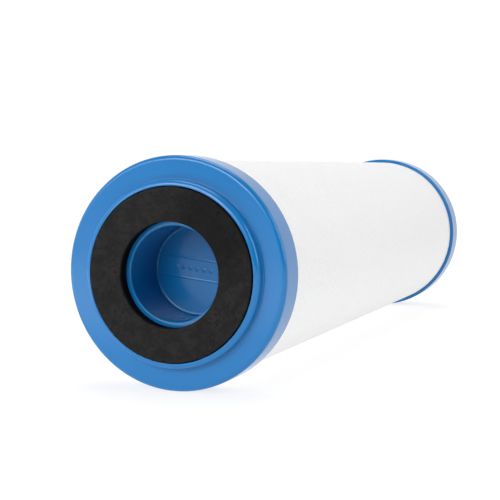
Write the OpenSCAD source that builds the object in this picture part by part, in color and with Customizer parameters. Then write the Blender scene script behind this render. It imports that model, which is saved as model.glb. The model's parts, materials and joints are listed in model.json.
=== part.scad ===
// Radial-flow filter cartridge: a rigid porous tube between two moulded end
// caps, with a carbon bed, a fabric sleeve and a windowed core inside.
// Each sub-part is drawn upright, with its closed end at z = 0, and lie_down()
// then lays the cartridge on its side: the axis runs along +Y from the closed
// end to the open end, +Z is up, and the origin is under its middle.

/* [Cartridge] */
// Overall length, from gasket face to gasket face
cartridge_len = 247.7; // [180:0.1:520]
// Outer diameter of the porous tube
shell_od = 64; // [58:0.1:65]
// Wall of the porous tube
shell_wall = 2.6; // [1.8:0.1:3.6]

/* [End caps] */
// Outer diameter of both end caps
cap_od = 66.8; // [66:0.1:72]
// Height of the cylindrical side of a cap, below its rounded rim
skirt_side = 9; // [7:0.1:16]
// Radius of the rounded rim round the cap's face
rim_round = 1.35; // [0.6:0.05:2]
// Outer diameter of the raised lip round the gasket
lip_od = 53.3; // [52.4:0.1:54]
// Height of the lip over the face
lip_height = 3; // [2:0.1:3.6]
// Thickness of the cap's plate under the gasket
plate_wall = 1.6; // [1.2:0.1:2.4]
// Diameter of the bore that takes the housing's centring boss
bore_d = 27.2; // [25:0.1:27.6]
// Depth of the bore, from its rim to the shoulder where it widens
bore_depth = 16; // [10:0.1:18]

/* [Gaskets] */
// Outer diameter of each flat gasket
gasket_od = 49.2; // [46:0.1:49.6]
// Diameter of the gasket's hole at its sealing face
gasket_hole_d = 29.8; // [29.6:0.1:30.4]
// Thickness of each gasket
gasket_thick = 4.8; // [4.4:0.1:6]

/* [Core plug] */
// Thickness of the disc that shuts the closed end
plug_thick = 2.2; // [1.6:0.1:3]
// Distance between the two raised lines on the disc
band_width = 5.9; // [4:0.1:8]
// Angle of the raised band about the cartridge's axis
band_tilt = 7.5; // [-45:0.5:45]
// Number of plain pips between the lines
pip_count = 7; // [3:1:9]

/* [Core] */
// Inner diameter of the core
core_id = 31.4; // [30.4:0.1:34]
// Wall of the core
core_wall = 2; // [1.2:0.1:3]
// Length of a window along the core
window_len = 7; // [4:0.5:9]
// Width of a window round the core
window_width = 9; // [5:0.5:10]
// Distance from one row of windows to the next
window_pitch = 10; // [9.5:0.5:14]

/* [Inner layers] */
// Thickness of the fabric sleeve round the core
sleeve_wall = 0.8; // [0.4:0.1:1.2]
// Thickness of the felt pad at the filled end of the bed
pad_thick = 4; // [2:0.5:8]

/* [Hidden] */
$fn = 128;

// Gap between sub-parts that slide together
slip = 0.05;
// Gap between the gasket and the lip round it
gasket_gap = 0.3;
// The gasket stands this much over the lip
gasket_proud = 0.7;
// Steps in each rounded edge
round_steps = 6;

// Radii
cap_r = cap_od / 2;
shell_r = shell_od / 2;
shell_in_r = shell_r - shell_wall;
skirt_in_r = shell_r + slip;
lip_r = lip_od / 2;
lip_in_r = gasket_od / 2 + gasket_gap;
lip_in_round = 0.2;
lip_flat = 0.05;
lip_round = min(1.5, lip_r - lip_in_r - lip_in_round - lip_flat);
bore_r = bore_d / 2;
bore_round = 0.45;
collar_r = 15.2;
collar_round = 0.25;
shoulder_wide = 0.8;
seat_r = bore_r + shoulder_wide;
spigot_r = core_id / 2 - slip;
core_in_r = core_id / 2;
core_r = core_in_r + core_wall;
sleeve_in_r = core_r + slip;
sleeve_r = sleeve_in_r + sleeve_wall;
bed_in_r = sleeve_r + slip;
bed_r = shell_in_r - slip;

// Heights over the gasket's sealing face, going into the cartridge. The collar
// rises into the gasket's hole, and the core plug's seat is past the shoulder.
lip_z = gasket_proud;
face_z = lip_z + lip_height;
side_z = face_z + rim_round;
skirt_z = side_z + skirt_side;
collar_rise = 0.7;
seat_depth = 5.4;
well_z = gasket_thick;
plate_z = well_z + plate_wall;
collar_z = well_z - collar_rise;
shoulder_z = collar_z + bore_depth;
spigot_z = shoulder_z + seat_depth;

// Depth of the bond under the shell and core, and its full depth
bond_seat = 1.2;
bond_depth = 2.2;
shell_z = plate_z + bond_seat;
bed_z = plate_z + bond_depth;
tube_len = cartridge_len - 2 * shell_z;
bed_len = cartridge_len - 2 * bed_z - pad_thick;

// Rows of windows that fit on the core between its plain ends
window_margin = 20;
window_rows = floor((tube_len - 2 * window_margin + window_pitch - window_len) / window_pitch);
window_ring = window_rows * window_pitch - (window_pitch - window_len);
// Boxes through the whole core, each of which cuts two windows
window_cuts = 3;

// Depth of the plug's sunk face and how far it reaches past the bore's wall,
// then the raised detail on it, which is rooted in the disc
plug_sink = 0.4;
plug_rim_gap = 0.3;
line_wide = 0.35;
line_high = 0.15;
line_root = 0.5;
bead_gap = 0.2;
bead_r = bore_r - bead_gap;
pip_r = 0.55;
pip_pitch = 2.2;

BLUE = [0.16, 0.44, 0.76];
BLACK = [0.13, 0.13, 0.13];
WHITE = [0.95, 0.95, 0.95];
CREAM = [0.93, 0.91, 0.85];
AMBER = [0.85, 0.78, 0.6];
CARBON = [0.07, 0.07, 0.08];

// Points of an arc round (r, z), from angle a to angle b
function arc(r, z, radius, a, b) =
    [for (i = [0 : round_steps])
        let (t = a + (b - a) * i / round_steps)
        [r + radius * cos(t), z + radius * sin(t)]];

// Lays what is drawn upright on its side
module lie_down() {
    translate([0, -cartridge_len / 2, cap_r])
        rotate([-90, 0, 0])
            children();
}

// Puts what belongs to the closed end at the open end, facing the other way
module at_open_end() {
    translate([0, 0, cartridge_len])
        mirror([0, 0, 1])
            children();
}

// A ring from radius a to radius b, and from height z to height z + h
module ring(a, b, z, h) {
    translate([0, 0, z])
        difference() {
            cylinder(r = b, h = h);
            translate([0, 0, -1])
                cylinder(r = a, h = h + 2);
        }
}

// Profile of an end cap: spigot, bore, collar, gasket well, lip, face and skirt
module cap_profile() {
    polygon(concat(
        [[seat_r, spigot_z], [seat_r, shoulder_z], [bore_r, shoulder_z]],
        arc(bore_r + bore_round, collar_z + bore_round, bore_round, 180, 270),
        arc(collar_r - collar_round, collar_z + collar_round, collar_round, 270, 360),
        [[collar_r, well_z], [lip_in_r, well_z]],
        arc(lip_in_r + lip_in_round, lip_z + lip_in_round, lip_in_round, 180, 270),
        arc(lip_r - lip_round, lip_z + lip_round, lip_round, 270, 360),
        [[lip_r, face_z]],
        arc(cap_r - rim_round, side_z, rim_round, 270, 360),
        [[cap_r, skirt_z - collar_round], [cap_r - collar_round, skirt_z],
         [skirt_in_r, skirt_z], [skirt_in_r, plate_z], [spigot_r, plate_z],
         [spigot_r, spigot_z]]
    ));
}

module end_cap() {
    rotate_extrude()
        cap_profile();
}

// Flat ring whose hole is a little smaller at the sealing face, where it bulges
module gasket() {
    hole_r = gasket_hole_d / 2;
    edge = 0.3;
    rotate_extrude()
        polygon(concat(
            [[collar_r + slip, gasket_thick]],
            arc(hole_r + edge, edge, edge, 180, 270),
            arc(gasket_od / 2 - edge, edge, edge, 270, 360),
            [[gasket_od / 2, gasket_thick]]
        ));
}

// Hot-melt disc that fills the cap's plate, with seats for the core and shell
module bond() {
    rotate_extrude()
        polygon([
            [spigot_r + slip, plate_z], [shell_r, plate_z], [shell_r, shell_z],
            [shell_in_r, shell_z], [shell_in_r, bed_z], [core_r, bed_z],
            [core_r, shell_z], [spigot_r + slip, shell_z]
        ]);
}

// Outline of the plug's raised detail: a bead round its edge, two lines that
// run into the bead, and a row of plain round pips between them
module plug_relief() {
    difference() {
        circle(r = bead_r);
        circle(r = bead_r - line_wide);
    }
    intersection() {
        circle(r = bead_r - line_wide / 2);
        for (side = [-1, 1])
            translate([0, side * band_width / 2])
                square([2 * bead_r, line_wide], center = true);
    }
    for (i = [0 : pip_count - 1])
        translate([(i - (pip_count - 1) / 2) * pip_pitch, 0])
            circle(r = pip_r);
}

module closed_end_cap() {
    color(BLUE)
        lie_down()
            end_cap();
}

module open_end_cap() {
    color(BLUE)
        lie_down()
            at_open_end()
                end_cap();
}

// Disc that bears on the bore's shoulder. Its face is sunk a little, so that the
// relief on it stays clear of a boss pushed right into the bore.
module core_plug() {
    color(BLUE)
        lie_down()
            union() {
                difference() {
                    translate([0, 0, shoulder_z])
                        cylinder(r = seat_r - slip, h = plug_thick);
                    translate([0, 0, shoulder_z - 1])
                        cylinder(r = bore_r + plug_rim_gap, h = 1 + plug_sink);
                }
                translate([0, 0, shoulder_z + plug_sink - line_high])
                    rotate([0, 0, band_tilt])
                        linear_extrude(line_high + line_root)
                            plug_relief();
            }
}

module closed_end_gasket() {
    color(BLACK)
        lie_down()
            gasket();
}

module open_end_gasket() {
    color(BLACK)
        lie_down()
            at_open_end()
                gasket();
}

module closed_end_bond() {
    color(AMBER)
        lie_down()
            bond();
}

module open_end_bond() {
    color(AMBER)
        lie_down()
            at_open_end()
                bond();
}

module outer_shell() {
    color(WHITE)
        lie_down()
            ring(shell_in_r, shell_r, shell_z, tube_len);
}

module carbon_bed() {
    color(CARBON)
        lie_down()
            ring(bed_in_r, bed_r, bed_z, bed_len);
}

module bed_expansion_pad() {
    color(CREAM)
        lie_down()
            ring(bed_in_r, bed_r, bed_z + bed_len, pad_thick);
}

module post_filter_sleeve() {
    color(WHITE)
        lie_down()
            ring(sleeve_in_r, sleeve_r, bed_z, cartridge_len - 2 * bed_z);
}

// Tube with rows of windows, and a hoop left between each row and the next
module inner_core() {
    color(WHITE)
        lie_down()
            difference() {
                ring(core_in_r, core_r, shell_z, tube_len);
                for (row = [0 : window_rows - 1])
                    for (turn = [0 : window_cuts - 1])
                        translate([0, 0, (cartridge_len - window_ring) / 2 + row * window_pitch])
                            rotate([0, 0, turn * 180 / window_cuts])
                                translate([-core_r - 1, -window_width / 2, 0])
                                    cube([2 * core_r + 2, window_width, window_len]);
            }
}

closed_end_cap();
core_plug();
closed_end_gasket();
closed_end_bond();
outer_shell();
carbon_bed();
bed_expansion_pad();
post_filter_sleeve();
inner_core();
open_end_bond();
open_end_gasket();
open_end_cap();
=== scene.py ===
"""Looks of the filter cartridge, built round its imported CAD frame.

The round pieces are turned about the cartridge's axis from outlines of
(radius, height) in millimetres, where the height runs from a gasket's sealing
face into the cartridge. The frame itself is in metres.
"""

import json
import math

import bmesh
import bpy
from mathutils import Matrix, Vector, noise


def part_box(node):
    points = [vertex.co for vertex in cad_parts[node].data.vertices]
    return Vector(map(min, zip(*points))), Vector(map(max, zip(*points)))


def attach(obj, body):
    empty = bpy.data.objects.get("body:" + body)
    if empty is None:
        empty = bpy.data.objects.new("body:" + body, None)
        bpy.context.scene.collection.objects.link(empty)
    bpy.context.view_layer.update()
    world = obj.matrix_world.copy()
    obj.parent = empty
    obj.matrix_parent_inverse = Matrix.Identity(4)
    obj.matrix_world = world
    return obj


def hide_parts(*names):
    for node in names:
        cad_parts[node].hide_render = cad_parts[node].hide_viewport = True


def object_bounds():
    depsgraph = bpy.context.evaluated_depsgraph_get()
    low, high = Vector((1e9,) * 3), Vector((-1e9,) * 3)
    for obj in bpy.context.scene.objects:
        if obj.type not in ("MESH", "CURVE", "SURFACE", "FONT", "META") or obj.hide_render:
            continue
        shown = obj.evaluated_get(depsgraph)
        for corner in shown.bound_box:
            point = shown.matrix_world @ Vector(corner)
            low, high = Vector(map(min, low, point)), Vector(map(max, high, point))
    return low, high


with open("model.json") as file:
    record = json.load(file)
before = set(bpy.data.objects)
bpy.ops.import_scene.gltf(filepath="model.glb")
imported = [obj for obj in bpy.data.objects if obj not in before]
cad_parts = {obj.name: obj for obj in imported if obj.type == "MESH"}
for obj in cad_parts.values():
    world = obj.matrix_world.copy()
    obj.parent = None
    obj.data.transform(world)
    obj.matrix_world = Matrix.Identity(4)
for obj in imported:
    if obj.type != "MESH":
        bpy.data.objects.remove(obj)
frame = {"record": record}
cad_low, cad_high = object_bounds()

MM = 0.001
SEGMENTS = 288

# ---------------------------------------------------------------- dimensions


def radius_of(node):
    """Outer radius of a round CAD node, in millimetres."""
    low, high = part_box(node)
    return (high.x - low.x) / 2 / MM


def height_of(node, end="low"):
    """Height over the closed end's sealing face at which a CAD node starts or ends."""
    low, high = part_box(node)
    return ((low if end == "low" else high).y - cad_low.y) / MM


MOUNTS = {mount["name"]: mount for mount in frame["record"]["mounts"]}
AXIS_Z = (cad_low.z + cad_high.z) / 2
END_Y = cad_high.y
LENGTH = (cad_high.y - cad_low.y) / MM

CAP_R = radius_of("closed_end_cap")
SHELL_R = radius_of("outer_shell")
BED_R = radius_of("carbon_bed")
SLEEVE_R = radius_of("post_filter_sleeve")
CORE_R = radius_of("inner_core")
GASKET_R = radius_of("closed_end_gasket")
PLUG_R = radius_of("core_plug")
BORE_R = MOUNTS["closed_end_recess"]["dims"]["r_mm"]

LIP_H = height_of("closed_end_cap")
WELL_H = height_of("closed_end_gasket", "high")
PLATE_H = height_of("closed_end_bond")
SHELL_H = height_of("outer_shell")
BED_H = height_of("carbon_bed")
BED_END_H = height_of("carbon_bed", "high")
SHOULDER_H = height_of("core_plug")
PLUG_END_H = height_of("core_plug", "high")
SPIGOT_H = height_of("closed_end_cap", "high")

CORE_WALL = 2.0

# Gaps between pieces that slide together, and between gasket and lip
SLIP = 0.05
GASKET_GAP = 0.3

# End cap, over and under its face
LIP_RISE = 3.0
LIP_WALL = 1.75
LIP_ROUND = 1.5
LIP_IN_ROUND = 0.2
LIP_R = GASKET_R + GASKET_GAP + LIP_WALL
FACE_H = LIP_H + LIP_RISE
RIM_ROUND = 1.35
SKIRT_H = FACE_H + RIM_ROUND + 9
COLLAR_R = 15.2
COLLAR_RISE = 0.7
SEAT_R = PLUG_R + SLIP
SPIGOT_R = CORE_R - CORE_WALL - SLIP
SHELL_WALL = SHELL_R - BED_R - SLIP

# Gasket, whose hole is a little smaller at its sealing face
GASKET_HOLE_R = 14.9

# Middle of a darker, less glossy patch on the upper, +x side of the closed end's gasket, and where
# it fades, in metres
DARK_PATCH_PLACE = (0.013, cad_low.y, AXIS_Z + 0.013)
DARK_PATCH_FADE = (0.006, 0.019)

# Depths under the sealing face between which the painted shade that turns a gasket's walls
# near black and less shiny fades out, and the width over which a bore's painted shade ends
GASKET_WALL_SHADE_FADE = (1.4, 0.3)
BORE_SHADE_FADE = 0.6

# Plug, with a sunk face and a raised band of two lines and a row of pips
PLUG_SINK = 0.4
PLUG_POCKET_R = BORE_R + 0.3
BEAD_R = BORE_R - 0.375
BAND_HALF = 2.95
BAND_TILT = math.radians(7.5)
LINE_WIDE = 0.35
RELIEF = 0.1
PIP_COUNT = 7
PIP_PITCH = 2.2
PIP_R = 0.55

# Core, with six windows to a row
WINDOW_LEN = 7.0
WINDOW_WIDE = 9.0
WINDOW_PITCH = 10.0
WINDOW_ROWS = 19
WINDOWS_ROUND = 6
WINDOW_CORNER = 1.0

SLEEVE_WALL = 0.8

# ------------------------------------------------------------------ geometry


def placed(radius, height, angle, at_open_end=False):
    """Point of the frame at a radius, a height and an angle, clockwise from the top."""
    along = END_Y - height * MM
    return Vector((
        radius * MM * math.sin(angle),
        along if at_open_end else -along,
        AXIS_Z + radius * MM * math.cos(angle),
    ))


def rounded(corners, steps=7):
    """Closed outline through corners of (radius, height, fillet)."""
    outline = []
    for i, (radius, height, fillet) in enumerate(corners):
        here = Vector((radius, height))
        if not fillet:
            outline.append(here)
            continue
        back = (Vector(corners[i - 1][:2]) - here).normalized()
        ahead = (Vector(corners[(i + 1) % len(corners)][:2]) - here).normalized()
        half = back.angle(ahead) / 2
        centre = here + (back + ahead).normalized() * fillet / math.sin(half)
        start = (here + back * fillet / math.tan(half) - centre).normalized()
        end = (here + ahead * fillet / math.tan(half) - centre).normalized()
        outline += [centre + start.slerp(end, k / steps) * fillet for k in range(steps + 1)]
    return outline


def divided(outline, step):
    """The outline with every stretch cut into lengths of at most step."""
    points = []
    for here, after in zip(outline, outline[1:] + outline[:1]):
        count = max(1, math.ceil((after - here).length / step))
        points += [here.lerp(after, k / count) for k in range(count)]
    return points


def ring_outline(inner, outer, low, high, fillet, step):
    """Outline of a plain ring with rounded edges, cut into short stretches."""
    ends = (inner, low), (outer, low), (outer, high), (inner, high)
    corners = [(*end, fillet) for end in ends]
    return divided(rounded(corners, 3), step)


def built(name, mesh):
    """Object made from a bmesh, with its faces turned outwards and shaded smooth."""
    bmesh.ops.recalc_face_normals(mesh, faces=mesh.faces)
    data = bpy.data.meshes.new(name)
    mesh.to_mesh(data)
    mesh.free()
    data.shade_smooth()
    piece = bpy.data.objects.new(name, data)
    bpy.context.scene.collection.objects.link(piece)
    return piece


def weigh_normals(piece):
    """Lets the large faces set the shading at the edges of a fillet."""
    modifier = piece.modifiers.new("weighted_normals", "WEIGHTED_NORMAL")
    modifier.weight = 80
    return piece


def turned(name, outline, at_open_end=False, segments=SEGMENTS):
    """Piece turned about the axis from a closed outline of (radius, height)."""
    mesh = bmesh.new()
    rings = [
        [mesh.verts.new(placed(r, h, math.tau * i / segments, at_open_end))
         for i in range(segments)]
        for r, h in outline
    ]
    for ring, following in zip(rings, rings[1:] + rings[:1]):
        for i in range(segments):
            mesh.faces.new((ring[i - 1], ring[i], following[i], following[i - 1]))
    return built(name, mesh)


def roughened(piece, depth, size, seed=0.0):
    """Sinks the surface by up to depth, in lumps of about that size, in millimetres."""
    vertices = piece.data.vertices
    normals = [vertex.normal.copy() for vertex in vertices]
    shift = Vector((seed, seed, seed))
    for vertex, normal in zip(vertices, normals):
        share = 0.5 + 0.5 * noise.noise(vertex.co / (size * MM) + shift)
        vertex.co -= normal * depth * MM * share
    return piece


def belongs(piece, material, slot, *nodes):
    """Gives a piece its material and lets it stand for CAD nodes. The slot is not used."""
    piece.data.materials.clear()
    piece.data.materials.append(material)
    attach(piece, "root")
    if nodes:
        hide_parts(*nodes)
    return piece


# ----------------------------------------------------------------- materials


def add(tree, kind, inputs=None, **settings):
    """A node with these settings, and these values or links on its inputs."""
    node = tree.nodes.new(kind)
    for key, value in settings.items():
        setattr(node, key, value)
    for key, value in (inputs or {}).items():
        if isinstance(value, bpy.types.NodeSocket):
            tree.links.new(value, node.inputs[key])
        else:
            node.inputs[key].default_value = value
    return node


def new_finish(name):
    """An empty material, its tree, its shader, and the place of each point in metres."""
    material = bpy.data.materials.new(name)
    material.use_nodes = True
    tree = material.node_tree
    place = add(tree, "ShaderNodeTexCoord").outputs["Object"]
    return material, tree, tree.nodes["Principled BSDF"], place


def stretched(tree, place, scale):
    """The place with each axis scaled by its own factor."""
    return add(tree, "ShaderNodeMapping", {"Vector": place, "Scale": scale}).outputs["Vector"]


def clouds(tree, place, size, detail=2.0, sharp=0.5):
    """Soft noise with lumps of about size millimetres, from 0 to 1."""
    inputs = {"Vector": place, "Scale": 1 / (size * MM), "Detail": detail, "Roughness": sharp}
    return add(tree, "ShaderNodeTexNoise", inputs).outputs["Fac"]


def grains(tree, place, size, feature="F1"):
    """Distance to the middle of packed grains of about size millimetres."""
    inputs = {"Vector": place, "Scale": 1 / (size * MM)}
    return add(tree, "ShaderNodeTexVoronoi", inputs, feature=feature).outputs["Distance"]


def from_axis(tree, place):
    """Distance to the cartridge's axis, in metres."""
    flat = {0: place, 1: (1, 0, 1), 2: (0, 0, -AXIS_Z)}
    off = add(tree, "ShaderNodeVectorMath", flat, operation="MULTIPLY_ADD").outputs["Vector"]
    return add(tree, "ShaderNodeVectorMath", {0: off}, operation="LENGTH").outputs["Value"]


def remapped(tree, value, low, high, to_low=0.0, to_high=1.0, smooth=False):
    """The value from low to high brought to to_low to to_high, and held there outside."""
    inputs = {"Value": value, "From Min": low, "From Max": high}
    inputs.update({"To Min": to_low, "To Max": to_high})
    kind = "SMOOTHSTEP" if smooth else "LINEAR"
    return add(tree, "ShaderNodeMapRange", inputs, interpolation_type=kind).outputs["Result"]


def mixed(tree, share, first, second):
    """Colour between first and second."""
    node = add(tree, "ShaderNodeMix", data_type="RGBA")
    sockets = node.inputs[0], node.inputs[6], node.inputs[7]
    for socket, value in zip(sockets, (share, first, second)):
        if isinstance(value, bpy.types.NodeSocket):
            tree.links.new(value, socket)
        elif isinstance(value, float):
            socket.default_value = value
        else:
            socket.default_value = (*value, 1)
    return node.outputs[2]


def combined(tree, operation, first, second):
    """Arithmetic on two values."""
    return add(tree, "ShaderNodeMath", {0: first, 1: second}, operation=operation).outputs[0]


def bumped(tree, height, depth, normal=None):
    """Normal of a surface whose height runs from 0 to 1 over depth millimetres."""
    inputs = {"Height": height, "Distance": depth * MM, "Strength": 1.0}
    if normal is not None:
        inputs["Normal"] = normal
    return add(tree, "ShaderNodeBump", inputs).outputs["Normal"]


def set_inputs(tree, shader, inputs):
    """Values and links on a shader's inputs."""
    for key, value in inputs.items():
        if isinstance(value, bpy.types.NodeSocket):
            tree.links.new(value, shader.inputs[key])
        else:
            shader.inputs[key].default_value = value


def blue_moulded_plastic():
    """Blue polypropylene with faint flow marks, orange peel and rubbed edges, glossy
    but for its bores, where painted shade darkens it and dulls its reflections."""
    material, tree, shader, place = new_finish("blue_moulded_plastic")
    flow = clouds(tree, place, 14, 3.0)
    speck = clouds(tree, place, 0.6, 3.0, 0.65)
    base = mixed(tree, flow, (0.004, 0.147, 0.405), (0.006, 0.170, 0.455))
    base = mixed(tree, remapped(tree, speck, 0.66, 0.8, 0.0, 0.12), base, (0.045, 0.23, 0.54))
    edge = add(tree, "ShaderNodeNewGeometry").outputs["Pointiness"]
    base = mixed(tree, remapped(tree, edge, 0.53, 0.62, 0.0, 0.1), base, (0.08, 0.30, 0.62))
    # Painted shade: colour a little darker and reflections duller within the bore's radius, fading
    # out just outside it
    bore_shade_end = (BORE_R + BORE_SHADE_FADE) * MM
    bore = remapped(tree, from_axis(tree, place), BORE_R * MM, bore_shade_end, 1.0, 0.0)
    base = mixed(tree, combined(tree, "MULTIPLY", bore, 0.13), base, (0.0, 0.0, 0.0))
    rough = remapped(tree, flow, 0.3, 0.7, 0.12, 0.17)
    rough = combined(tree, "ADD", rough, remapped(tree, speck, 0.6, 0.8, 0.0, 0.06))
    sheen = remapped(tree, bore, 0.0, 1.0, 0.5, 0.26)
    normal = bumped(tree, flow, 0.04)
    normal = bumped(tree, clouds(tree, place, 1.6, 2.0), 0.0012, normal)
    finish = {"Base Color": base, "Roughness": rough, "Normal": normal}
    finish.update({"IOR": 1.49, "Specular IOR Level": sheen})
    set_inputs(tree, shader, finish)
    return material


def black_gasket_rubber():
    """Matt black rubber, cloudy and speckled, darker and less glossy in one patch, with painted
    shade that turns its walls near black below the sealing face.
    """
    material, tree, shader, place = new_finish("black_gasket_rubber")
    smudge = remapped(tree, clouds(tree, place, 4, 6.0, 0.7), 0.38, 0.62, smooth=True)
    speck = remapped(tree, clouds(tree, place, 1.1, 3.0, 0.7), 0.55, 0.63)
    # A darker, less glossy patch on the upper, +x side of the closed end's gasket
    away = add(tree, "ShaderNodeVectorMath", {0: place, 1: DARK_PATCH_PLACE}, operation="DISTANCE")
    dark_patch = remapped(tree, away.outputs["Value"], *DARK_PATCH_FADE, 1.0, 0.0, smooth=True)
    # Painted shade: below the first few tenths of a millimetre under the sealing face, the gasket's
    # walls are darkened to near black and made less shiny
    along = add(tree, "ShaderNodeSeparateXYZ", {"Vector": place}).outputs["Y"]
    along = combined(tree, "ABSOLUTE", along, 0.0)
    end = LENGTH / 2 * MM
    full_shade_depth, no_shade_depth = GASKET_WALL_SHADE_FADE
    wall = remapped(tree, along, end - full_shade_depth * MM, end - no_shade_depth * MM, 1.0, 0.0)
    base = mixed(tree, smudge, (0.0042, 0.0038, 0.0037), (0.0155, 0.0143, 0.014))
    base = mixed(tree, combined(tree, "MULTIPLY", speck, 0.75), base, (0.002, 0.002, 0.002))
    base = mixed(tree, combined(tree, "MULTIPLY", dark_patch, 0.5), base, (0.0015, 0.0015, 0.0016))
    base = mixed(tree, combined(tree, "MULTIPLY", wall, 0.85), base, (0.0006, 0.0007, 0.0009))
    grain = clouds(tree, place, 0.22, 3.0, 0.7)
    normal = bumped(tree, smudge, 0.02)
    normal = bumped(tree, grain, 0.02, normal)
    rough = remapped(tree, smudge, 0.0, 1.0, 0.72, 0.85)
    sheen = combined(tree, "SUBTRACT", 0.2, combined(tree, "MULTIPLY", wall, 0.14))
    sheen = combined(tree, "SUBTRACT", sheen, combined(tree, "MULTIPLY", dark_patch, 0.06))
    finish = {"Base Color": base, "Roughness": rough, "Specular IOR Level": sheen, "Normal": normal}
    set_inputs(tree, shader, finish)
    return material


def porous_tube_plastic():
    """White sintered plastic: fused grains with pores between them, quite matt."""
    material, tree, shader, place = new_finish("porous_tube_plastic")
    grain = grains(tree, place, 0.45)
    pore = remapped(tree, grain, 0.42, 0.7)
    tone = clouds(tree, place, 25, 3.0)
    base = mixed(tree, tone, (0.84, 0.84, 0.845), (0.87, 0.87, 0.875))
    base = mixed(tree, combined(tree, "MULTIPLY", pore, 0.22), base, (0.6, 0.6, 0.61))
    height = remapped(tree, grain, 0.0, 0.7, 1.0, 0.0)
    normal = bumped(tree, tone, 0.04)
    normal = bumped(tree, height, 0.035, normal)
    set_inputs(tree, shader, {"Base Color": base, "Roughness": 0.82, "IOR": 1.4, "Normal": normal})
    return material


def white_core_plastic():
    """Plain white moulded plastic of the core, with flow marks and a soft sheen."""
    material, tree, shader, place = new_finish("white_core_plastic")
    flow = clouds(tree, stretched(tree, place, (1, 0.2, 1)), 5, 3.0)
    base = mixed(tree, flow, (0.76, 0.76, 0.74), (0.84, 0.84, 0.82))
    rough = remapped(tree, flow, 0.3, 0.7, 0.36, 0.5)
    normal = bumped(tree, flow, 0.03)
    normal = bumped(tree, clouds(tree, place, 0.5, 2.0), 0.005, normal)
    finish = {"Base Color": base, "Roughness": rough, "IOR": 1.49, "Normal": normal}
    set_inputs(tree, shader, finish)
    return material


def carbon_granules():
    """Black carbon granules, each with its own shade, some of them glinting."""
    material, tree, shader, place = new_finish("carbon_granules")
    cells = add(tree, "ShaderNodeTexVoronoi", {"Vector": place, "Scale": 1 / (1.1 * MM)})
    shade = add(tree, "ShaderNodeSeparateColor", {"Color": cells.outputs["Color"]}).outputs[0]
    base = mixed(tree, shade, (0.006, 0.006, 0.007), (0.03, 0.03, 0.032))
    rough = remapped(tree, shade, 0.0, 1.0, 0.45, 0.9)
    height = remapped(tree, cells.outputs["Distance"], 0.0, 0.8, 1.0, 0.0)
    normal = bumped(tree, height, 0.35)
    set_inputs(tree, shader, {"Base Color": base, "Roughness": rough, "Normal": normal})
    return material


def pressed_felt():
    """Cream felt: short matted fibres with a faint sheen."""
    material, tree, shader, place = new_finish("pressed_felt")
    across = clouds(tree, stretched(tree, place, (1, 6, 1)), 1.2, 4.0, 0.7)
    along = clouds(tree, stretched(tree, place, (6, 1, 2)), 1.2, 4.0, 0.7)
    fibre = combined(tree, "MAXIMUM", across, along)
    base = mixed(tree, remapped(tree, fibre, 0.4, 0.75), (0.6, 0.56, 0.48), (0.84, 0.81, 0.73))
    normal = bumped(tree, fibre, 0.12)
    finish = {"Base Color": base, "Roughness": 0.95, "Sheen Weight": 0.3, "Normal": normal}
    set_inputs(tree, shader, finish)
    return material


def nonwoven_cloth():
    """White spunbonded cloth: a web of fibres with rows of small bonded points."""
    material, tree, shader, place = new_finish("nonwoven_cloth")
    web = combined(
        tree, "MAXIMUM",
        clouds(tree, stretched(tree, place, (1, 5, 1)), 0.8, 4.0, 0.7),
        clouds(tree, stretched(tree, place, (4, 1, 4)), 0.8, 4.0, 0.7),
    )
    point = remapped(tree, grains(tree, place, 1.6), 0.18, 0.3)
    base = mixed(tree, remapped(tree, web, 0.4, 0.7), (0.7, 0.7, 0.71), (0.88, 0.88, 0.88))
    base = mixed(tree, combined(tree, "SUBTRACT", 1.0, point), base, (0.66, 0.67, 0.69))
    normal = bumped(tree, web, 0.06)
    normal = bumped(tree, point, 0.08, normal)
    finish = {"Base Color": base, "Roughness": 0.9, "Sheen Weight": 0.2, "Normal": normal}
    set_inputs(tree, shader, finish)
    return material


def hot_melt_glue():
    """Amber glue, wavy and half clear, with small bubbles under its skin."""
    material, tree, shader, place = new_finish("hot_melt_glue")
    wave = clouds(tree, place, 4, 2.0)
    bubble = remapped(tree, grains(tree, place, 1.8), 0.12, 0.2, 1.0, 0.0)
    base = mixed(tree, wave, (0.66, 0.58, 0.38), (0.78, 0.71, 0.52))
    base = mixed(tree, combined(tree, "MULTIPLY", bubble, 0.4), base, (0.86, 0.82, 0.7))
    normal = bumped(tree, wave, 0.2)
    normal = bumped(tree, bubble, 0.03, normal)
    rough = remapped(tree, wave, 0.3, 0.7, 0.25, 0.4)
    finish = {"Base Color": base, "Roughness": rough, "Subsurface Weight": 0.2, "Normal": normal}
    set_inputs(tree, shader, finish)
    return material


def pale_floor_finish():
    """White board lit from below, as under a product on a light table, with a painted pool of
    light: a brighter glowing patch at the closed end's front left.
    """
    material, tree, shader, place = new_finish("pale_board")
    tone = clouds(tree, place, 60, 2.0)
    base = mixed(tree, tone, (0.27, 0.27, 0.27), (0.29, 0.29, 0.29))
    # Painted pool of light: extra glow in a patch near the closed end's front left
    away = add(tree, "ShaderNodeVectorMath", {0: place, 1: PATCH_PLACE}, operation="DISTANCE")
    lit = remapped(tree, away.outputs["Value"], *PATCH_FADE, PATCH_GLOW, 0.0, smooth=True)
    glow = combined(tree, "ADD", FLOOR_GLOW, lit)
    finish = {"Base Color": base, "Roughness": 0.9, "Specular IOR Level": 0.1}
    finish.update({"Emission Color": (1, 1, 1, 1), "Emission Strength": glow})
    set_inputs(tree, shader, finish)
    return material


# -------------------------------------------------------------------- pieces


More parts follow.
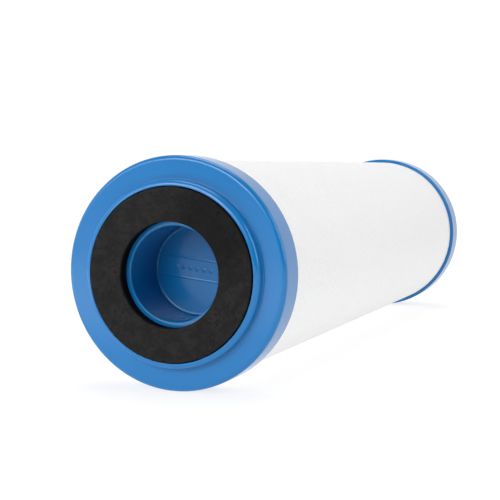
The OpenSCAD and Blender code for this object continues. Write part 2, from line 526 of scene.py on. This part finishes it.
def make_cap(name, node, at_open_end):
    """End cap: spigot, bore, collar, gasket well, lip, face, rounded rim and skirt."""
    corners = [
        (SEAT_R, SPIGOT_H, 0.2), (SEAT_R, SHOULDER_H, 0.08), (BORE_R, SHOULDER_H, 0.12),
        (BORE_R, WELL_H - COLLAR_RISE, 0.45), (COLLAR_R, WELL_H - COLLAR_RISE, 0.25),
        (COLLAR_R, WELL_H, 0.1), (GASKET_R + GASKET_GAP, WELL_H, 0.2),
        (GASKET_R + GASKET_GAP, LIP_H, LIP_IN_ROUND), (LIP_R, LIP_H, LIP_ROUND),
        (LIP_R, FACE_H, 0.3), (CAP_R, FACE_H, RIM_ROUND), (CAP_R, SKIRT_H, 0.25),
        (SHELL_R + SLIP, SKIRT_H, 0.2), (SHELL_R + SLIP, PLATE_H, 0.4),
        (SPIGOT_R, PLATE_H, 0.4), (SPIGOT_R, SPIGOT_H, 0.3),
    ]
    cap = turned(name, divided(rounded(corners), 4.0), at_open_end)
    weigh_normals(cap)
    return belongs(cap, BLUE, "blue_polypropylene", node)


def make_gasket(name, node, at_open_end):
    """Flat rubber ring, soft-edged and very slightly uneven, narrower at its face."""
    corners = [
        (COLLAR_R + SLIP, WELL_H, 0.25), (GASKET_HOLE_R, 0, 0.35),
        (GASKET_R, 0, 0.35), (GASKET_R, WELL_H, 0.25),
    ]
    gasket = turned(name, divided(rounded(corners), 0.7), at_open_end)
    roughened(gasket, 0.05, 5, 3.0)
    return belongs(gasket, BLACK, "black_rubber", node)


def eased(value, low, high):
    """0 below low, 1 above high, and smooth in between."""
    share = min(1.0, max(0.0, (value - low) / (high - low)))
    return share * share * (3 - 2 * share)


def plug_relief(across_x, up_z):
    """Share of the relief's height at a point of the plug's face, in millimetres."""
    soft = 0.2
    along = across_x * math.cos(BAND_TILT) - up_z * math.sin(BAND_TILT)
    aside = across_x * math.sin(BAND_TILT) + up_z * math.cos(BAND_TILT)
    radius = math.hypot(across_x, up_z)
    nearest = round(along / PIP_PITCH)
    limit = (PIP_COUNT - 1) // 2
    nearest = max(-limit, min(limit, nearest))
    pip = math.hypot(along - nearest * PIP_PITCH, aside)
    half = LINE_WIDE / 2
    line = eased(half + soft - abs(abs(aside) - BAND_HALF), 0, 2 * soft)
    line *= 1 - eased(radius, BEAD_R, BEAD_R + half)
    bead = eased(half + soft - abs(radius - BEAD_R), 0, 2 * soft)
    return max(line, bead, eased(PIP_R + soft - pip, 0, 3 * soft))


def make_plug():
    """Disc with a sunk, raised-lined face, modelled point by point on round rings."""
    face_rings = 150
    corners = [(PLUG_POCKET_R, SHOULDER_H + PLUG_SINK, 0), (PLUG_POCKET_R, SHOULDER_H, 0.05),
               (PLUG_R, SHOULDER_H, 0.1), (PLUG_R, PLUG_END_H, 0.2), (1, PLUG_END_H, 0)]
    mesh = bmesh.new()
    segments = 448
    angles = [math.tau * i / segments for i in range(segments)]
    face = SHOULDER_H + PLUG_SINK
    rings = []
    for step in range(1, face_rings + 1):
        radius = PLUG_POCKET_R * step / face_rings
        rings.append([
            mesh.verts.new(placed(
                radius, face - RELIEF * plug_relief(radius * math.sin(a), radius * math.cos(a)), a))
            for a in angles
        ])
    for radius, height in rounded(corners, 3)[1:]:
        rings.append([mesh.verts.new(placed(radius, height, a)) for a in angles])
    for ring, following in zip(rings, rings[1:]):
        for i in range(segments):
            mesh.faces.new((ring[i - 1], ring[i], following[i], following[i - 1]))
    middle = mesh.verts.new(placed(0, face - RELIEF, 0))
    back = mesh.verts.new(placed(0, PLUG_END_H, 0))
    for i in range(segments):
        mesh.faces.new((rings[0][i - 1], rings[0][i], middle))
        mesh.faces.new((rings[-1][i], rings[-1][i - 1], back))
    return belongs(built("recess_plug_disc", mesh), BLUE, "blue_polypropylene", "core_plug")


def make_shell():
    """Rigid porous tube, a hair out of round, with cut ends."""
    outline = ring_outline(SHELL_R - SHELL_WALL, SHELL_R, SHELL_H, LENGTH - SHELL_H, 0.15, 3.5)
    shell = roughened(turned("porous_outer_tube", outline), 0.03, 20)
    return belongs(shell, POROUS, "porous_polyethylene", "outer_shell")


def make_bed():
    """Packed granules, lumpy on every side."""
    outline = ring_outline(SLEEVE_R + SLIP, BED_R, BED_H, BED_END_H, 0.4, 1.7)
    bed = roughened(turned("packed_carbon_bed", outline, segments=200), 0.35, 1.3, 7.0)
    return belongs(bed, CARBON, "granular_carbon", "carbon_bed")


def make_pad():
    """Thick felt ring that keeps the granules packed, matted and uneven."""
    low, high = BED_END_H + SLIP, LENGTH - BED_H - SLIP
    outline = ring_outline(SLEEVE_R + SLIP, BED_R, low, high, 0.8, 0.6)
    pad = roughened(turned("felt_expansion_ring", outline, segments=240), 0.3, 1.8, 11.0)
    belongs(pad, FELT, "felt", "bed_expansion_pad")
    return pad


def make_sleeve():
    """Cloth sleeve on the core, pressed a little way into each of its windows."""
    inner, outer = CORE_R + SLIP, CORE_R + SLIP + SLEEVE_WALL
    outline = ring_outline(inner, outer, BED_H, LENGTH - BED_H, 0.2, 1.7)
    sleeve = turned("cloth_core_sleeve", outline, segments=192)
    dent, windows_end = 0.4, WINDOW_ROWS * WINDOW_PITCH / 2
    for vertex in sleeve.data.vertices:
        away = Vector((vertex.co.x, 0, vertex.co.z - AXIS_Z))
        angle = math.atan2(away.x, away.z)
        along = vertex.co.y / MM
        row = math.cos(math.tau * along / WINDOW_PITCH) if abs(along) < windows_end else 0
        turn = -math.cos(WINDOWS_ROUND * angle)
        vertex.co -= away.normalized() * dent * MM * max(0, row) * max(0, turn)
    roughened(sleeve, 0.08, 2.5, 5.0)
    belongs(sleeve, CLOTH, "nonwoven_fabric", "post_filter_sleeve")
    return sleeve


def window_loop(half_turn, half_len, corner, count):
    """Points of a rounded rectangle, as (turn, along) from its middle, in millimetres."""
    points = []
    quarter = count // 4
    for side in range(4):
        for k in range(quarter):
            t = k / quarter
            angle = math.pi / 2 * (side + t) - math.pi / 4
            x, y = math.cos(angle), math.sin(angle)
            stretch = 1 / max(abs(x), abs(y))
            points.append((x * stretch * half_turn, y * stretch * half_len))
    limited = []
    for x, y in points:
        cx = max(-half_turn + corner, min(half_turn - corner, x))
        cy = max(-half_len + corner, min(half_len - corner, y))
        off = Vector((x - cx, y - cy))
        if off.length > corner:
            off = off.normalized() * corner
        limited.append((cx + off.x, cy + off.y))
    return limited


def make_core():
    """Tube with rounded windows: each window's tile is a set of loops, from its border
    on the outside, through the window's wall, to its border on the inside."""
    count = 48
    inner = CORE_R - CORE_WALL
    middle = (inner + CORE_R) / 2
    half_window = math.asin(WINDOW_WIDE / 2 / middle) * middle
    half_tile = math.pi / WINDOWS_ROUND * middle
    half_pitch = WINDOW_PITCH / 2
    border = window_loop(half_tile, half_pitch, 0.0, count)
    hole = window_loop(half_window, WINDOW_LEN / 2, WINDOW_CORNER, count)
    edge = 0.25
    wide = window_loop(half_window + edge, WINDOW_LEN / 2 + edge, WINDOW_CORNER, count)
    spread = [[(a[0] + (b[0] - a[0]) * t, a[1] + (b[1] - a[1]) * t)
               for a, b in zip(border, wide)] for t in (0, 0.35, 0.7, 1)]
    loops = [(loop, CORE_R) for loop in spread]
    loops += [(hole, CORE_R - edge), (hole, inner + edge)]
    loops += [(loop, inner) for loop in reversed(spread)]
    mesh = bmesh.new()

    def point(turn, along, radius):
        return mesh.verts.new((
            radius * MM * math.sin(turn), along * MM, AXIS_Z + radius * MM * math.cos(turn)))

    for row in range(WINDOW_ROWS):
        centre = (row - (WINDOW_ROWS - 1) / 2) * WINDOW_PITCH
        for window in range(WINDOWS_ROUND):
            turn = math.tau * (window + 0.5) / WINDOWS_ROUND
            rings = [[point(turn + x / middle, centre + y, radius) for x, y in loop]
                     for loop, radius in loops]
            for ring, following in zip(rings, rings[1:]):
                for i in range(count):
                    mesh.faces.new((ring[i - 1], ring[i], following[i], following[i - 1]))
    last = WINDOW_ROWS * WINDOW_PITCH / 2
    stop = LENGTH / 2 - SHELL_H
    turns = sorted(x / middle for x, y in border
                   if y > half_pitch - 0.01 and x > 0.01 - half_tile)
    end_turns = sorted(math.tau * (w + 0.5) / WINDOWS_ROUND + t
                       for w in range(WINDOWS_ROUND) for t in turns)
    fillet = 0.25
    end_path = [(last, CORE_R), (last + (stop - last) / 2, CORE_R), (stop - fillet, CORE_R),
                (stop, CORE_R - fillet), (stop, inner + fillet), (stop - fillet, inner),
                (last + (stop - last) / 2, inner), (last, inner)]
    for side in (-1, 1):
        rings = [[point(turn, side * along, radius) for turn in end_turns]
                 for along, radius in end_path]
        for ring, following in zip(rings, rings[1:]):
            for i in range(len(end_turns)):
                mesh.faces.new((ring[i - 1], ring[i], following[i], following[i - 1]))
    bmesh.ops.remove_doubles(mesh, verts=mesh.verts, dist=0.01 * MM)
    core = weigh_normals(built("windowed_core", mesh))
    return belongs(core, WHITE, "white_polypropylene", "inner_core")


def make_bond(name, node, at_open_end):
    """Glue disc in a cap, stepped where the core and the tube sit in it."""
    seat = SHELL_H
    corners = [
        (SPIGOT_R + SLIP, PLATE_H + 0.02, 0.1), (SHELL_R, PLATE_H + 0.02, 0.1),
        (SHELL_R, seat, 0.1),
        (SHELL_R - SHELL_WALL, seat, 0.1), (SHELL_R - SHELL_WALL, BED_H, 0.3), (CORE_R, BED_H, 0.3),
        (CORE_R, seat, 0.1), (SPIGOT_R + SLIP, seat, 0.1),
    ]
    bond = turned(name, divided(rounded(corners, 3), 1.0), at_open_end, segments=200)
    roughened(bond, 0.04, 3, 2.0)
    return belongs(bond, GLUE, "hot_melt", node)


# ------------------------------------------------------- floor, lights, camera


def make_floor():
    """Wide pale board under the cartridge."""
    half = 6.0
    mesh = bmesh.new()
    sides = (-1, -1), (1, -1), (1, 1), (-1, 1)
    mesh.faces.new([mesh.verts.new((x * half, y * half, cad_low.z)) for x, y in sides])
    floor = built("pale_board", mesh)
    floor.data.materials.append(pale_floor_finish())


def lobe(tree, direction, azimuth, elevation, core, reach, strength):
    """Light that is strong within core degrees of a direction and gone at reach degrees."""
    towards = {0: direction, 1: heading(azimuth, elevation)}
    nearness = add(tree, "ShaderNodeVectorMath", towards, operation="DOT_PRODUCT").outputs["Value"]
    far, near = math.cos(math.radians(reach)), math.cos(math.radians(core))
    return remapped(tree, nearness, far, near, 0.0, strength, smooth=True)


def make_world():
    """White room, dim on the camera's right, with a key light in front and one overhead."""
    world = bpy.data.worlds.new("studio")
    bpy.context.scene.world = world
    world.use_nodes = True
    tree = world.node_tree
    direction = add(tree, "ShaderNodeTexCoord").outputs["Generated"]
    up = add(tree, "ShaderNodeSeparateXYZ", {"Vector": direction}).outputs["Z"]
    walls = remapped(tree, up, 0.3, 0.7, WALL_LIGHT, CEILING_LIGHT, smooth=True)
    shade = combined(tree, "SUBTRACT", 1.0, lobe(tree, direction, *DARK_SIDE))
    level = combined(tree, "MULTIPLY", walls, shade)
    for key in KEYS:
        level = combined(tree, "ADD", level, lobe(tree, direction, *key))
    tree.links.new(level, tree.nodes["Background"].inputs["Strength"])
    tree.nodes["Background"].inputs["Color"].default_value = (1, 1, 1, 1)


def make_softbox(name, place, aim, size, power):
    """Square area light at a place, turned to a point."""
    light = bpy.data.lights.new(name, "AREA")
    light.shape = "RECTANGLE"
    light.size, light.size_y = size
    light.energy = power
    lamp = bpy.data.objects.new(name, light)
    lamp.location = place
    lamp.rotation_mode = "QUATERNION"
    lamp.rotation_quaternion = (Vector(aim) - Vector(place)).to_track_quat("-Z", "Y")
    lamp.visible_camera = False
    bpy.context.scene.collection.objects.link(lamp)


def make_camera():
    """Camera a third of a metre in front of the closed end, a little right and above."""
    data = bpy.data.cameras.new("camera")
    data.lens = CAMERA_LENS
    data.sensor_width = 36
    data.clip_start, data.clip_end = 0.02, 50
    camera = bpy.data.objects.new("camera", data)
    end = Vector((0, cad_low.y, AXIS_Z))
    camera.location = end + heading(CAMERA_SIDE, CAMERA_RISE) * CAMERA_DISTANCE * CAP_R * MM
    camera.rotation_mode = "QUATERNION"
    camera.rotation_quaternion = (-heading(CAMERA_TURN, CAMERA_TILT)).to_track_quat("-Z", "Y")
    bpy.context.scene.collection.objects.link(camera)
    bpy.context.scene.camera = camera


def heading(azimuth, elevation):
    """Unit vector from the object to a viewer at those angles, in degrees."""
    a, e = math.radians(azimuth), math.radians(elevation)
    return Vector((math.sin(a) * math.cos(e), -math.cos(a) * math.cos(e), math.sin(e)))


# Where the camera stands from the middle of the closed end, in cap radii, and
# which way it looks
CAMERA_DISTANCE = 9.843
CAMERA_SIDE, CAMERA_RISE = 24.87, 5.27
CAMERA_TURN, CAMERA_TILT = 20.893, 4.048
CAMERA_LENS = 85.0

# Brightness of the room's walls and ceiling. Then its dim side and its soft keys,
# each as azimuth, elevation, core and reach in degrees, and strength
WALL_LIGHT, CEILING_LIGHT = 1.02, 0.4
DARK_SIDE = (28, 10, 34, 66, 0.95)
KEYS = [
    (-36, 22, 7, 19, 2.3), (-14, 24, 7, 20, 5.6), (4, 22, 7, 19, 2.3),
    (-170, 76, 9, 25, 3.6),
]

# Softbox on the right: its middle, what it faces, its size in metres and its power
SOFTBOX_PLACE, SOFTBOX_AIM = (0.8, -0.12, 0.4), (0, -0.12, 0.03)
SOFTBOX_SIZE, SOFTBOX_POWER = (0.3, 0.55), 1.75

# Glow of the floor, and of a patch of it at the closed end's front left, which
# fades between two distances in metres
FLOOR_GLOW = 0.75
PATCH_PLACE = (-0.2, -0.35, cad_low.z)
PATCH_FADE = (0.09, 0.25)
PATCH_GLOW = 1.3

BLUE = blue_moulded_plastic()
BLACK = black_gasket_rubber()
POROUS = porous_tube_plastic()
WHITE = white_core_plastic()
CARBON = carbon_granules()
FELT = pressed_felt()
CLOTH = nonwoven_cloth()
GLUE = hot_melt_glue()

make_cap("closed_end_cap_moulding", "closed_end_cap", False)
make_cap("open_end_cap_moulding", "open_end_cap", True)
make_gasket("closed_end_rubber_ring", "closed_end_gasket", False)
make_gasket("open_end_rubber_ring", "open_end_gasket", True)
make_plug()
make_shell()
make_bed()
make_pad()
make_core()
make_sleeve()
make_bond("closed_end_glue_disc", "closed_end_bond", False)
make_bond("open_end_glue_disc", "open_end_bond", True)

make_floor()
make_world()
make_softbox("right_softbox", SOFTBOX_PLACE, SOFTBOX_AIM, SOFTBOX_SIZE, SOFTBOX_POWER)
make_camera()

scene = bpy.context.scene
scene.view_settings.view_transform = "Standard"
scene.view_settings.look = "None"
